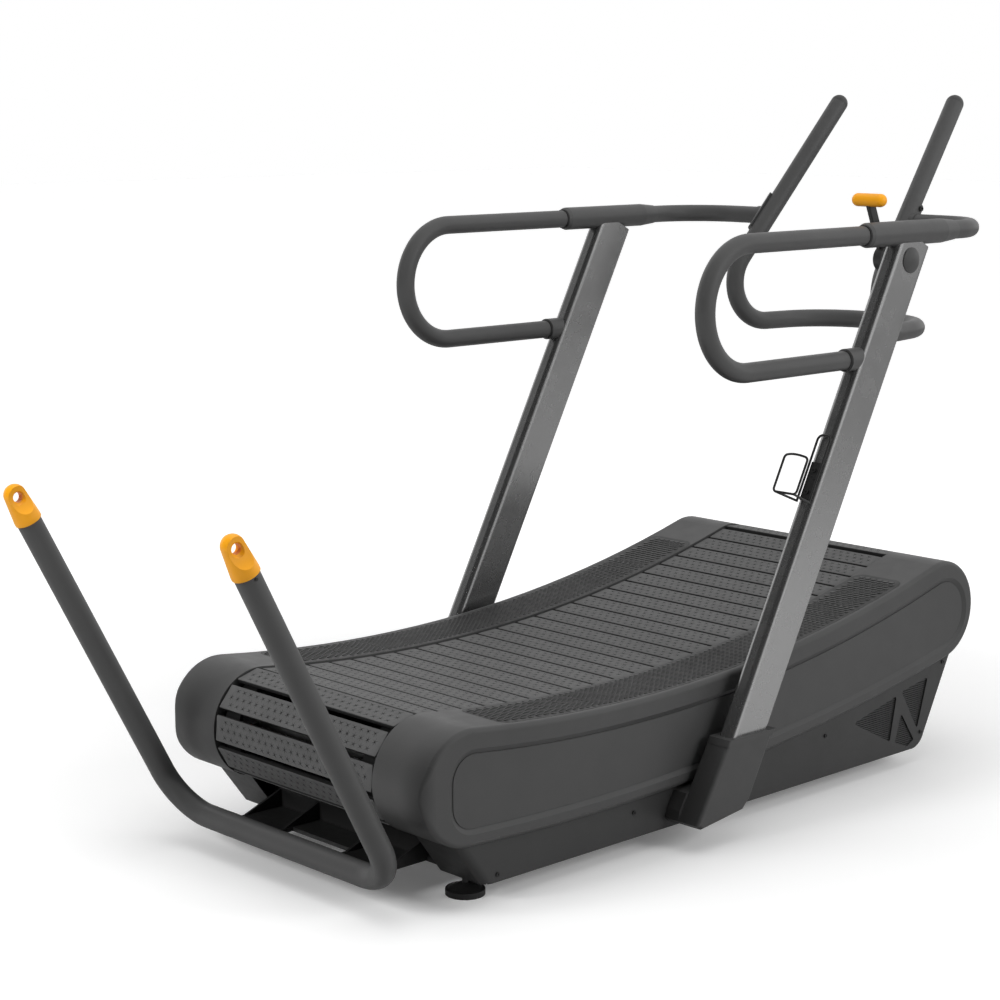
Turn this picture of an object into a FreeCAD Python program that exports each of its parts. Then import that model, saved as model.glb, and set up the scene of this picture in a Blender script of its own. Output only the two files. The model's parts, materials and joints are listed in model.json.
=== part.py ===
import FreeCAD, Part
import math
import os
from FreeCAD import Matrix, Vector

# Curved manual treadmill. Millimetres, +Z up, floor at Z = 0.
# +Y is the way the runner faces, +X is the runner's right hand. The machine is symmetric about X = 0
# except for the brake lever, its cable, the brake and the bottle cage, which are on the right.
os.makedirs("parts", exist_ok=True)

# ---------------------------------------------------------------- driving dimensions
# Running deck: a concave arc in side view, carried over two rollers.
ARC_CENTRE = Vector(0, -172.0, 3922.0)
ROLLER_PATH_R = 3710.0          # arc centre to each roller's centre
REAR_ROLLER_Y = -632.0
FRONT_ROLLER_Y = 818.0
BELT_HALF = 240.0               # half of the visible belt width
BELT_R = 110.0                  # roller centre to the tread's outer face
SLAT_COUNT = 59
SLAT_PHASE = 0.35               # where the first slat starts, as a part of one pitch
TREAD_THICK = 8.0
TREAD_GAP = 7.5
PITCH_R = 98.0                  # roller centre to the line along which the slats keep their pitch

# Side shells over the rollers and rails.
SHELL_IN = 244.0
SHELL_OUT = 392.0
SHELL_WALL = 6.0
SHELL_EDGE = 10.0
SHELL_TURN = 28.0               # rounding of the shell's rear outer corner, seen from above
END_R = 113.0
LOW_ARC_R = 5560.0
GRIP_IN = 247.0
GRIP_OUT = 377.0
GRIP_REAR = -535.0
GRIP_FRONT = 690.0
GRIP_DEPTH = 3.0
PANEL_REAR = -683.0
PANEL_TOP = 38.0                # the panel recess's rim, inside the shell's outline: top, bottom and nose
PANEL_LOW = 24.5
PANEL_NOSE = 24.0
PANEL_CORNER = 60.0
PANEL_DEPTH = 6.0
PANEL_BEVEL = 10.0              # width of the sloping rim round the panel
PANEL_THICK = 1.5

# Lower skirts and the base frame inside them.
SKIRT_OUT = 374.0
SKIRT_THICK = 3.0
SKIRT_WRAP = 251.0              # how far inboard the skirt's end walls reach
SKIRT_Z = 37.0
SKIRT_TURN = 18.0               # rounding of the skirt's rear outer corner, seen from above
RAIL_IN = 262.0
RAIL_THICK = 6.0
SILL_WIDE = 60.0
SILL_Z = 45.0
SILL_TALL = 60.0
SILL_REAR = -577.0
SILL_FRONT = 675.0
OUTRIGGER_Y = 30.0
OUTRIGGER_Z = 100.0

# Uprights and hand rails.
UPRIGHT_X = 435.5
UPRIGHT_WIDE = 40.0
UPRIGHT_DEEP = 100.0
UPRIGHT_CORNER = 12.0
UPRIGHT_LEAN = math.radians(27.62)
UPRIGHT_Y600 = 280.5            # Y of the upright's centre line at Z = 600
UPRIGHT_LOW = 72.0
UPRIGHT_TOP = 1196.0
RAIL_R = 20.0
RAIL_X = 438.0
RAIL_Z = 1207.6
LOOP_Y = 68.0                   # centre of the side loop's bend
LOOP_R = 127.0
SLEEVE_REAR = 430.0
SLEEVE_FRONT = 735.0
SLEEVE_R = 26.0
FRONT_RAIL_Y = 892.0
FRONT_BEND_R = 132.0

# Sled bar: two posts that lean forward, joined by a low curved bar.
SLED_R = 21.0
SLED_TIP = Vector(169.0, 1107.0, 1471.5)
SLED_FALL = Vector(0.118, -0.834, -1.0)
SLED_LOW_Z = 957.6
SLED_BEND_R = 94.0
SLED_END = Vector(159.0, 1066.0, 957.6)
SLED_END_R = 150.0

# Rear U-bar with its two anchor caps.
U_R = 24.0
U_CAP_BASE = Vector(338.0, -1098.0, 708.0)
U_FALL = Vector(-0.004, 0.524, -1.0)
EYE_TILT = 0.0277               # slope of an eye's axis towards the foot of its leg
U_LOW_Z = 69.0
U_BEND_R = 95.0
CAP_REACH = 42.0                # cap base to the centre of its eye, measured in height
CAP_R = 26.5
CAP_CROWN_R = 21.5
EYE_R = 10.0
EYE_WALL = 14.0                 # length of the eye's straight wall, between its flared mouths

# Brake lever on the right upright.
LEVER_Y = 569.4
LEVER_Z = 1151.0
LEVER_GRIP = Vector(385.0, 514.0, 1276.0)
LEVER_PIN_R = 5.0
FIT = 0.05                      # radial clearance of a running shaft

FOOT_REAR = (302.0, -565.0)
FOOT_FRONT = (205.0, 645.0)
FOOT_STEM_R = 6.0
WHEEL_Y = 722.0
WHEEL_Z = 48.0
WHEEL_R = 32.0

TUBE_WALL = 2.5
X_AXIS = Vector(1, 0, 0)
Z_AXIS = Vector(0, 0, 1)
ORIGIN = Vector(0, 0, 0)


# ---------------------------------------------------------------- helpers
def save(name, shape):
    shape.exportStep("parts/" + name + ".step")
    low = shape.BoundBox
    print("%-22s solids %3d valid %s volume %9.0f  X %.0f..%.0f Y %.0f..%.0f Z %.0f..%.0f" % (
        name, len(shape.Solids), shape.isValid(), shape.Volume,
        low.XMin, low.XMax, low.YMin, low.YMax, low.ZMin, low.ZMax))


def save_pair(name, right):
    save(name + "_right", right)
    save(name + "_left", mirrored(right))


def save_both(name, right):
    """One node for a small right-hand piece and its left-hand twin."""
    save(name, group(right.Solids + mirrored(right).Solids))


def mirrored(shape):
    return shape.mirror(ORIGIN, X_AXIS)


def group(solids):
    return Part.makeCompound(solids)


def unit(vector):
    return Vector(vector).normalize()


def block(low, high):
    size = Vector(high) - Vector(low)
    return Part.makeBox(size.x, size.y, size.z, Vector(low))


def rod(start, end, radius):
    start = Vector(start)
    run = Vector(end) - start
    return Part.makeCylinder(radius, run.Length, start, run)


def joined(first, *others):
    return first.fuse(list(others)).removeSplitter()


def side_face(edges):
    return Part.Face(Part.Wire(edges))


def polygon(points):
    """A flat face in side view from (y, z) corners."""
    corners = [Vector(0, y, z) for y, z in points]
    return Part.Face(Part.makePolygon(corners + [corners[0]]))


def between(face, x_low, x_high):
    """Pulls a side-view face out between two X positions."""
    solid = face.extrude(Vector(x_high - x_low, 0, 0))
    solid.translate(Vector(x_low, 0, 0))
    return solid


def bent_path(points, radii):
    """Straight runs through the points, with a tangent arc at each inner point."""
    points = [Vector(p) for p in points]
    edges = []
    start = points[0]
    for before, corner, after, radius in zip(points, points[1:], points[2:], radii):
        back = unit(before - corner)
        ahead = unit(after - corner)
        half_turn = (math.pi - back.getAngle(ahead)) / 2
        reach = radius * math.tan(half_turn)
        middle = unit(back + ahead)
        centre = corner + middle * (radius / math.cos(half_turn))
        entry = corner + back * reach
        leave = corner + ahead * reach
        if (entry - start).Length > 0.01:
            edges.append(Part.LineSegment(start, entry).toShape())
        edges.append(Part.Arc(entry, centre - middle * radius, leave).toShape())
        start = leave
    edges.append(Part.LineSegment(start, points[-1]).toShape())
    return Part.Wire(edges)


def bent_bar(points, radii, radius):
    path = bent_path(points, radii)
    along = Vector(points[1]) - Vector(points[0])
    ring = Part.Wire([Part.Circle(Vector(points[0]), along, radius).toShape()])
    return path.makePipeShell([ring], True, False)


def bent_tube(points, radii, radius, wall=TUBE_WALL):
    return bent_bar(points, radii, radius).cut(bent_bar(points, radii, radius - wall))


def profile_bar(centre, x_dir, y_dir, wide, deep, corner, run):
    """A bar with a rounded rectangular section, pulled along `run`."""
    x_dir = unit(x_dir) * (wide / 2)
    y_dir = unit(y_dir) * (deep / 2)
    corners = [centre + x_dir + y_dir, centre - x_dir + y_dir,
               centre - x_dir - y_dir, centre + x_dir - y_dir]
    solid = Part.Face(Part.makePolygon(corners + [corners[0]])).extrude(run)
    if corner <= 0:
        return solid
    long_edges = [e for e in solid.Edges if abs(unit(e.tangentAt(e.FirstParameter)).dot(unit(run))) > 0.999]
    return solid.makeFillet(corner, long_edges)


# ---------------------------------------------------------------- deck geometry
def roller_centre(y):
    rise = math.sqrt(ROLLER_PATH_R ** 2 - (y - ARC_CENTRE.y) ** 2)
    return Vector(0, y, ARC_CENTRE.z - rise)


REAR = roller_centre(REAR_ROLLER_Y)
FRONT = roller_centre(FRONT_ROLLER_Y)
SPAN = FRONT - REAR
ALONG = unit(SPAN)
DOWN = Vector(0, ALONG.z, -ALONG.y)
LOW_RISE = math.sqrt((LOW_ARC_R - END_R) ** 2 - (SPAN.Length / 2) ** 2)
LOW_CENTRE = (REAR + FRONT) * 0.5 - DOWN * LOW_RISE


def deck_outline(inset):
    """Side view of the shell, `inset` millimetres inside its skin: four arcs tangent to each other."""
    end = END_R - inset
    top = ROLLER_PATH_R - end
    low = LOW_ARC_R - inset
    rear_top = ARC_CENTRE + unit(REAR - ARC_CENTRE) * top
    front_top = ARC_CENTRE + unit(FRONT - ARC_CENTRE) * top
    rear_low = LOW_CENTRE + unit(REAR - LOW_CENTRE) * low
    front_low = LOW_CENTRE + unit(FRONT - LOW_CENTRE) * low
    top_middle = ARC_CENTRE + unit((rear_top + front_top) * 0.5 - ARC_CENTRE) * top
    low_middle = LOW_CENTRE + DOWN * low
    return side_face([
        Part.Arc(rear_top, top_middle, front_top).toShape(),
        Part.Arc(front_top, FRONT + ALONG * end, front_low).toShape(),
        Part.Arc(front_low, low_middle, rear_low).toShape(),
        Part.Arc(rear_low, REAR - ALONG * end, rear_top).toShape()])


def panel_outline(inset):
    """Side view of the panel recess, `inset` inside its rim: two arcs, a round nose, an upright rear."""
    top = ROLLER_PATH_R - END_R + PANEL_TOP + inset
    low = LOW_ARC_R - PANEL_LOW - inset
    corner = PANEL_CORNER - inset
    start = PANEL_REAR + inset

    def corner_centre(centre, reach):
        y = start + corner
        return Vector(0, y, centre.z - math.sqrt(reach ** 2 - (y - centre.y) ** 2))

    high = corner_centre(ARC_CENTRE, top + corner)
    deep = corner_centre(LOW_CENTRE, low - corner)
    back = Vector(0, -corner, 0)
    top_rear = ARC_CENTRE + unit(high - ARC_CENTRE) * top
    low_rear = LOW_CENTRE + unit(deep - LOW_CENTRE) * low
    front_top = ARC_CENTRE + unit(FRONT - ARC_CENTRE) * top
    front_low = LOW_CENTRE + unit(FRONT - LOW_CENTRE) * low
    nose_r = (front_low - front_top).Length / 2
    shift = ALONG * (END_R - PANEL_NOSE - inset - nose_r)
    nose = (front_low + front_top) * 0.5 + shift + ALONG * nose_r
    front_top = front_top + shift
    front_low = front_low + shift
    top_middle = ARC_CENTRE + unit((top_rear + front_top) * 0.5 - ARC_CENTRE) * top
    low_middle = LOW_CENTRE + unit((low_rear + front_low) * 0.5 - LOW_CENTRE) * low

    def rounded(centre, first, last):
        bulge = unit(unit(first - centre) + unit(last - centre)) * corner
        return Part.Arc(first, centre + bulge, last).toShape()

    return side_face([
        Part.Arc(top_rear, top_middle, front_top).toShape(),
        Part.Arc(front_top, nose, front_low).toShape(),
        Part.Arc(front_low, low_middle, low_rear).toShape(),
        rounded(deep, low_rear, deep + back),
        Part.LineSegment(deep + back, high + back).toShape(),
        rounded(high, high + back, top_rear)])


def moved_to(face, x):
    face.translate(Vector(x, 0, 0))
    return face


def belt_outline(radius):
    """Side view of the belt loop at `radius` from the rollers' centres."""
    top = ROLLER_PATH_R - radius
    rear_top = ARC_CENTRE + unit(REAR - ARC_CENTRE) * top
    front_top = ARC_CENTRE + unit(FRONT - ARC_CENTRE) * top
    middle = ARC_CENTRE + unit((rear_top + front_top) * 0.5 - ARC_CENTRE) * top
    rear_low = REAR + DOWN * radius
    front_low = FRONT + DOWN * radius
    return side_face([
        Part.Arc(rear_top, middle, front_top).toShape(),
        Part.Arc(front_top, FRONT + ALONG * radius, front_low).toShape(),
        Part.LineSegment(front_low, rear_low).toShape(),
        Part.Arc(rear_low, REAR - ALONG * radius, rear_top).toShape()])


def belt_station(distance):
    """Point, travel direction and outward normal at a distance along the belt's pitch line."""
    top_r = ROLLER_PATH_R - PITCH_R
    rear_angle = math.asin((REAR.y - ARC_CENTRE.y) / ROLLER_PATH_R)
    front_angle = math.asin((FRONT.y - ARC_CENTRE.y) / ROLLER_PATH_R)
    slope = math.atan2(ALONG.z, ALONG.y)
    top_length = top_r * (front_angle - rear_angle)
    front_turn = math.pi + front_angle - slope
    rear_turn = math.pi + slope - rear_angle
    if distance < top_length:
        angle = rear_angle + distance / top_r
        outward = Vector(0, -math.sin(angle), math.cos(angle))
        return ARC_CENTRE - outward * top_r, Vector(0, math.cos(angle), math.sin(angle)), outward
    distance -= top_length
    if distance < front_turn * PITCH_R:
        heading = front_angle - distance / PITCH_R
        outward = Vector(0, -math.sin(heading), math.cos(heading))
        return FRONT + outward * PITCH_R, Vector(0, math.cos(heading), math.sin(heading)), outward
    distance -= front_turn * PITCH_R
    if distance < SPAN.Length:
        return FRONT + DOWN * PITCH_R - ALONG * distance, ALONG * -1, DOWN
    distance -= SPAN.Length
    heading = slope + math.pi - distance / PITCH_R
    outward = Vector(0, -math.sin(heading), math.cos(heading))
    return REAR + outward * PITCH_R, Vector(0, math.cos(heading), math.sin(heading)), outward


def belt_length():
    top_r = ROLLER_PATH_R - PITCH_R
    rear_angle = math.asin((REAR.y - ARC_CENTRE.y) / ROLLER_PATH_R)
    front_angle = math.asin((FRONT.y - ARC_CENTRE.y) / ROLLER_PATH_R)
    turns = 2 * math.pi + front_angle - rear_angle
    return top_r * (front_angle - rear_angle) + turns * PITCH_R + SPAN.Length


def on_station(shape, distance):
    """Moves a shape drawn at the origin (Y along travel, Z outward) to its place on the belt."""
    point, travel, outward = belt_station(distance)
    placed = shape.copy()
    placed.transformShape(Matrix(
        1, 0, 0, point.x,
        0, travel.y, outward.y, point.y,
        0, travel.z, outward.z, point.z,
        0, 0, 0, 1))
    return placed


def build_belt():
    pitch = belt_length() / SLAT_COUNT
    reach = BELT_R - PITCH_R
    tread = block((-BELT_HALF, -(pitch - TREAD_GAP) / 2, reach - TREAD_THICK),
                  (BELT_HALF, (pitch - TREAD_GAP) / 2, reach))
    flange = block((-236, -14, -4), (236, 14, reach - TREAD_THICK))
    web = block((-182, -3, -14), (182, 3, -4))
    bar = joined(flange, web)
    stations = [(i + SLAT_PHASE) * pitch for i in range(SLAT_COUNT)]
    save("tread_pads", group([on_station(tread, s) for s in stations]))
    save("slat_bars", group([on_station(bar, s) for s in stations]))
    outer = belt_outline(PITCH_R - 4.1)
    inner = belt_outline(PITCH_R - 12)
    link = between(outer, 190, 234).cut(between(inner, 180, 240))
    save_both("link_belts", link)


def build_support_bearings():
    """Ball bearings on short axles that carry the belt along its curve."""
    bearing_r = 17.5
    reach = ROLLER_PATH_R - (PITCH_R - 12) + bearing_r + 0.3
    bearings = []
    axles = []
    for i in range(11):
        y = -480 + i * 118.0
        centre = Vector(0, y, ARC_CENTRE.z - math.sqrt(reach ** 2 - (y - ARC_CENTRE.y) ** 2))
        for x_low, x_high in ((196, 210), (214, 228)):
            ring = rod(centre + X_AXIS * x_low, centre + X_AXIS * x_high, bearing_r)
            bore = rod(centre + X_AXIS * (x_low - 1), centre + X_AXIS * (x_high + 1), 6.0)
            bearings.append(ring.cut(bore))
        axles.append(rod(centre + X_AXIS * 192, centre + X_AXIS * RAIL_IN, 6.0))
    save_both("support_bearings", group(bearings))
    save_both("bearing_axles", group(axles))


# ---------------------------------------------------------------- base frame
def build_frame():
    rail = between(deck_outline(34), RAIL_IN, RAIL_IN + RAIL_THICK)
    for centre in (REAR, FRONT):
        rail = rail.cut(rod(centre + X_AXIS * 250, centre + X_AXIS * 280, 16.0))
    foot_plate = polygon([(SILL_REAR, SILL_Z + SILL_TALL), (SILL_REAR, 190), (SILL_FRONT, 290),
                          (SILL_FRONT, SILL_Z + SILL_TALL)])
    rail = joined(rail, between(foot_plate, RAIL_IN, RAIL_IN + RAIL_THICK))
    rail = rail.cut(block((RAIL_IN - 5, OUTRIGGER_Y - 35, OUTRIGGER_Z), (RAIL_IN + 15, OUTRIGGER_Y + 35,
                                                                         OUTRIGGER_Z + 44)))
    save_both("side_rails", rail)

    sill = block((RAIL_IN, SILL_REAR, SILL_Z), (RAIL_IN + SILL_WIDE, SILL_FRONT, SILL_Z + SILL_TALL))
    inner = block((RAIL_IN + 3, SILL_REAR - 1, SILL_Z + 3), (RAIL_IN + SILL_WIDE - 3, SILL_FRONT + 1,
                                                               SILL_Z + SILL_TALL - 3))
    sill = sill.cut(inner)
    bush = rod((FOOT_REAR[0], FOOT_REAR[1], SILL_Z), (FOOT_REAR[0], FOOT_REAR[1], SILL_Z + 26), 11.0)
    bore = rod((FOOT_REAR[0], FOOT_REAR[1], SILL_Z - 5), (FOOT_REAR[0], FOOT_REAR[1], SILL_Z + 40),
               FOOT_STEM_R + FIT)
    sill = joined(sill, bush).cut(bore)
    save_both("sills", sill)

    members = []
    for y_low, y_high in ((-581.0, -540.0), (SILL_FRONT - 60, SILL_FRONT)):
        member = block((-RAIL_IN, y_low, SILL_Z), (RAIL_IN, y_high, SILL_Z + SILL_TALL - 5))
        hollow = block((-RAIL_IN - 1, y_low + 3, SILL_Z + 3),
                       (RAIL_IN + 1, y_high - 3, SILL_Z + SILL_TALL - 8))
        member = member.cut(hollow)
        if y_low > 0:
            for side in (-1, 1):
                x = side * FOOT_FRONT[0]
                bush = rod((x, FOOT_FRONT[1], SILL_Z), (x, FOOT_FRONT[1], SILL_Z + 26), 11.0)
                bore = rod((x, FOOT_FRONT[1], SILL_Z - 5), (x, FOOT_FRONT[1], SILL_Z + 40),
                           FOOT_STEM_R + FIT)
                member = joined(member, bush).cut(bore)
        members.append(member)
    save("end_cross_members", group(members))

    ties = []
    for y in (-300.0, 200.0, 600.0):
        z = roller_centre(y).z + 8
        tie = rod((-RAIL_IN, y, z), (RAIL_IN, y, z), 19.0)
        ties.append(tie.cut(rod((-RAIL_IN - 1, y, z), (RAIL_IN + 1, y, z), 16.5)))
    save("cross_tubes", group(ties))

    top = OUTRIGGER_Z + 44
    reach = UPRIGHT_X - UPRIGHT_WIDE / 2
    outrigger = block((-reach, OUTRIGGER_Y - 35, OUTRIGGER_Z + 5), (reach, OUTRIGGER_Y + 35, top))
    hollow = block((-reach - 1, OUTRIGGER_Y - 31, OUTRIGGER_Z + 9), (reach + 1, OUTRIGGER_Y + 31, top - 4))
    outrigger = outrigger.cut(hollow)
    outrigger = outrigger.cut(rod((CABLE_OUT_X, OUTRIGGER_Y, top - 10),
                                  (CABLE_OUT_X, OUTRIGGER_Y, top + 5), 13.0))
    save("outrigger", outrigger)


def build_rollers():
    """Front and rear rollers: axle, drum and two toothed pulleys under the link belts."""
    pulley_r = PITCH_R - 12 - 0.4
    for name, centre, x_right in (("front", FRONT, 336.0), ("rear", REAR, 306.0)):
        axle = rod(centre - X_AXIS * 306, centre + X_AXIS * x_right, 12.5)
        pulleys = []
        for side in (-1, 1):
            pulley = rod(centre + X_AXIS * (side * 188), centre + X_AXIS * (side * 236), pulley_r)
            pulley = pulley.cut(rod(centre + X_AXIS * (side * 180), centre + X_AXIS * (side * 240), 12.5))
            lightening = []
            for k in range(6):
                turn = math.radians(60 * k)
                hub = centre + Vector(0, math.cos(turn), math.sin(turn)) * 50
                lightening.append(rod(hub + X_AXIS * (side * 180), hub + X_AXIS * (side * 240), 16.0))
            pulleys.append(pulley.cut(group(lightening)))
        drum = rod(centre - X_AXIS * 187.5, centre + X_AXIS * 187.5, 45.0)
        drum = drum.cut(rod(centre - X_AXIS * 190, centre + X_AXIS * 190, 12.5))
        drum = drum.cut(rod(centre - X_AXIS * 175, centre + X_AXIS * 175, 41.0))
        save(name + "_axle", axle)
        save(name + "_roller", group(pulleys + [drum]))


def build_roller_bearings():
    """Flanged bearing housings that hold the two axles on the side rails."""
    housings = []
    for centre in (REAR, FRONT):
        start = RAIL_IN + RAIL_THICK
        flange = rod(centre + X_AXIS * start, centre + X_AXIS * (start + 8), 38.0)
        boss = rod(centre + X_AXIS * (start + 8), centre + X_AXIS * (start + 26), 28.0)
        housing = joined(flange, boss)
        housing = housing.cut(rod(centre + X_AXIS * 250, centre + X_AXIS * 310, 12.5 + FIT))
        housings.append(housing)
    save_both("roller_bearings", group(housings))


def build_brake():
    """Eddy-current brake: a disc on the front axle and a magnet carrier that slides over its rim."""
    disc = rod(FRONT + X_AXIS * 318, FRONT + X_AXIS * 324, 88.0)
    hub = rod(FRONT + X_AXIS * 310, FRONT + X_AXIS * 330, 24.0)
    disc = joined(disc, hub).cut(rod(FRONT + X_AXIS * 300, FRONT + X_AXIS * 340, 12.5))
    save("brake_disc", disc)

    rim_y = FRONT.y - 88
    z = FRONT.z - 14
    yoke = block((306, rim_y - 60, z - 22), (336, rim_y + 12, z + 22))
    throat = block((313.5, rim_y - 22, z - 30), (328.5, rim_y + 20, z + 30))
    guide = rod((321, rim_y - 70, z), (321, rim_y - 20, z), 5.0 + FIT)
    save("magnet_carrier", yoke.cut(throat).cut(guide))
    magnets = []
    for x_low, x_high in ((313.5, 316.3), (325.7, 328.5)):
        for z_off in (-11, 11):
            magnets.append(rod((x_low, rim_y - 4, z + z_off), (x_high, rim_y - 4, z + z_off), 9.0))
    save("brake_magnets", group(magnets))

    start = RAIL_IN + RAIL_THICK
    rear_y = rim_y - 120
    arm = block((start, rear_y - 6, z - 16), (332, rear_y, z + 16))
    foot = block((start, rear_y - 40, z - 16), (start + 5, rear_y - 6, z + 16))
    pin = rod((321, rear_y - 6, z), (321, rim_y - 24, z), 5.0)
    save("brake_guide", joined(arm, foot, pin))


# ---------------------------------------------------------------- covers
def build_shells():
    def rounded(inset, x_low, x_high, fillet):
        plan = block((x_low, REAR.y - END_R - 2, -50), (x_high, 1100, 700))
        corner = [e for e in plan.Edges if e.BoundBox.ZLength > 100 and e.BoundBox.XMin > x_high - 1
                  and e.BoundBox.YMax < 0]
        plan = plan.makeFillet(SHELL_TURN - inset, corner)
        solid = between(deck_outline(inset), x_low, x_high).common(plan)
        edges = [e for e in solid.Edges if e.BoundBox.XMax > x_high - 0.01 and e.BoundBox.XMin > x_low + 1
                 and e.BoundBox.YLength > 1]
        return solid.makeFillet(fillet, edges)

    shell = rounded(0, SHELL_IN, SHELL_OUT, SHELL_EDGE)
    inner_x = SHELL_OUT - SHELL_WALL - PANEL_DEPTH
    shell = shell.cut(rounded(SHELL_WALL, SHELL_IN + 4, inner_x, SHELL_EDGE - SHELL_WALL))
    # The inner wall is open over the rail and the bearings, and the underside is open over the skirt.
    shell = shell.cut(between(deck_outline(22), SHELL_IN - 5, SHELL_IN + 10))
    opening = deck_outline(12)
    opening.translate(Vector(0, 0, -30))
    reach = block((SHELL_IN - 5, -662, 0), (SKIRT_OUT + 2, 900, 400))
    shell = shell.cut(between(opening, SHELL_IN - 5, SKIRT_OUT + 2).common(reach).cut(
        between(deck_outline(30), SHELL_IN - 6, SKIRT_OUT + 3)))
    slope = PANEL_BEVEL / PANEL_DEPTH
    rim = moved_to(panel_outline(-slope), SHELL_OUT + 1)
    floor = moved_to(panel_outline(PANEL_BEVEL), SHELL_OUT - PANEL_DEPTH)
    shell = shell.cut(Part.makeLoft([rim.OuterWire, floor.OuterWire], True, True))
    shell = shell.cut(grip_solid(0.0, GRIP_DEPTH, 30.0))
    shell = shell.cut(outrigger_hole())
    save_pair("side_shell", shell)

    panel_x = SHELL_OUT - PANEL_DEPTH
    save_both("side_panels", between(panel_outline(PANEL_BEVEL + 0.6), panel_x, panel_x + PANEL_THICK))
    save_pair("step_grip", grip_solid(0.0, GRIP_DEPTH, 0.5))


def outrigger_hole():
    """Clearance for the outrigger through a shell or skirt, behind the boot."""
    return block((SKIRT_OUT - 20, OUTRIGGER_Y - 36, OUTRIGGER_Z + 4),
                 (SHELL_OUT + 10, OUTRIGGER_Y + 36, OUTRIGGER_Z + 45))


def grip_solid(margin, depth, proud):
    """A plate that follows the shell's top, from `depth` below its skin to `proud` above it."""
    top = ROLLER_PATH_R - END_R
    plan = block((GRIP_IN + margin, GRIP_REAR + margin, 100), (GRIP_OUT - margin, GRIP_FRONT - margin, 700))
    upright_edges = [e for e in plan.Edges if e.BoundBox.ZLength > 100]
    plan = plan.makeFillet(24.0, upright_edges)
    outer = rod(ARC_CENTRE, ARC_CENTRE + X_AXIS * 500, top + depth)
    inner = rod(ARC_CENTRE - X_AXIS * 10, ARC_CENTRE + X_AXIS * 510, top - proud)
    return plan.common(outer).cut(inner)


SKIRT_REAR_LOW = Vector(0, -582.0, SKIRT_Z)
SKIRT_REAR_HIGH = Vector(0, -668.0, 152.0)
SKIRT_FRONT_LOW = Vector(0, 767.0, SKIRT_Z)
SKIRT_FRONT_HIGH = Vector(0, 885.0, 262.0)


def skirt_side(inset):
    """Side view of a skirt: flat underside, leaning ends, and a top edge tucked inside the shell."""
    rear = unit(SKIRT_REAR_HIGH - SKIRT_REAR_LOW)
    front = unit(SKIRT_FRONT_HIGH - SKIRT_FRONT_LOW)
    rear_low = SKIRT_REAR_LOW + Vector(0, inset / rear.z, 0)
    front_low = SKIRT_FRONT_LOW - Vector(0, inset / front.z, 0)
    rear_high = rear_low + rear * 150
    front_high = front_low + front * 262
    corner = 34.0
    front_in = front_low + Vector(0, -corner, 0)
    front_up = front_low + front * corner
    bulge = front_low + (unit(Vector(0, -1, 0)) + front) * (corner * 0.21)
    outline = side_face([
        Part.LineSegment(rear_high, rear_low).toShape(),
        Part.LineSegment(rear_low, front_in).toShape(),
        Part.Arc(front_in, bulge, front_up).toShape(),
        Part.LineSegment(front_up, front_high).toShape(),
        Part.LineSegment(front_high, rear_high).toShape()])
    solid = between(outline, 0, 500)
    tuck = between(deck_outline(24), -10, 510)
    low_side = block((-20, -900, 0), (520, 1100, 400))
    return solid.cut(tuck).common(low_side)


def build_skirts():
    def turned(inset, x_low):
        x_high = SKIRT_OUT - inset
        solid = skirt_side(inset).common(block((x_low, -900, -50), (x_high, 1100, 600)))
        rear = [e for e in solid.Edges if e.BoundBox.XMin > x_high - 0.01 and e.BoundBox.ZLength > 50
                and e.BoundBox.YMax < SKIRT_REAR_LOW.y + inset + 5]
        return solid.makeFillet(SKIRT_TURN - inset, rear)

    whole = turned(0, SKIRT_WRAP)
    hollow = turned(SKIRT_THICK, SKIRT_WRAP - 5)
    hollow = hollow.fuse(block((SKIRT_WRAP - 5, -574, SKIRT_Z - 5),
                               (SKIRT_OUT - SKIRT_THICK, 728, SKIRT_Z + 6)))
    skirt = whole.cut(hollow)
    skirt = skirt.cut(outrigger_hole())
    # A notch in the front end wall clears the transport wheel.
    skirt = skirt.cut(block((272, WHEEL_Y - 45, 0), (312, WHEEL_Y + 70, WHEEL_Z + 24)))
    for window in VENTS:
        opening = between(polygon(window), SKIRT_OUT - 20, SKIRT_OUT + 20)
        corners = [e for e in opening.Edges if e.BoundBox.XLength > 1]
        skirt = skirt.cut(opening.makeFillet(VENT_CORNER, corners))
    pieces = sorted(skirt.Solids, key=lambda s: s.Volume)
    save_pair("skirt", pieces[-1])


FASTENERS = []
VENTS = [
    [(524, 137), (678, 171), (657, 70)],
    [(696, 178), (792, 194), (757, 80)],
    [(697, 128), (746, 58), (722, 46), (676, 64)],
]
VENT_CORNER = 4.0
VENT_RIM = 5.0                  # the grilles reach this far behind the edges of their windows
LOUVRE_PITCH = 4.8


def build_vents():
    """Louvred grilles behind the three windows near the front of each skirt, each in its own rim."""
    grille = []
    for window in VENTS:
        face = polygon(window)
        rim = Part.Face(face.OuterWire.makeOffset2D(VENT_RIM, 2))
        frame = between(rim, SKIRT_OUT - 9, SKIRT_OUT - SKIRT_THICK)
        opening = between(face, SKIRT_OUT - 7, SKIRT_OUT)
        slits = []
        box = face.BoundBox
        z = box.ZMin + 4
        while z < box.ZMax:
            slit = block((SKIRT_OUT - 8, box.YMin, z), (SKIRT_OUT, box.YMax, z + LOUVRE_PITCH / 2))
            slits.append(slit.common(opening))
            z += LOUVRE_PITCH
        grille.append(frame.cut(group(slits)))
    save_both("vent_grilles", group([s for shape in grille for s in shape.Solids if s.Volume > 50]))


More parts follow.
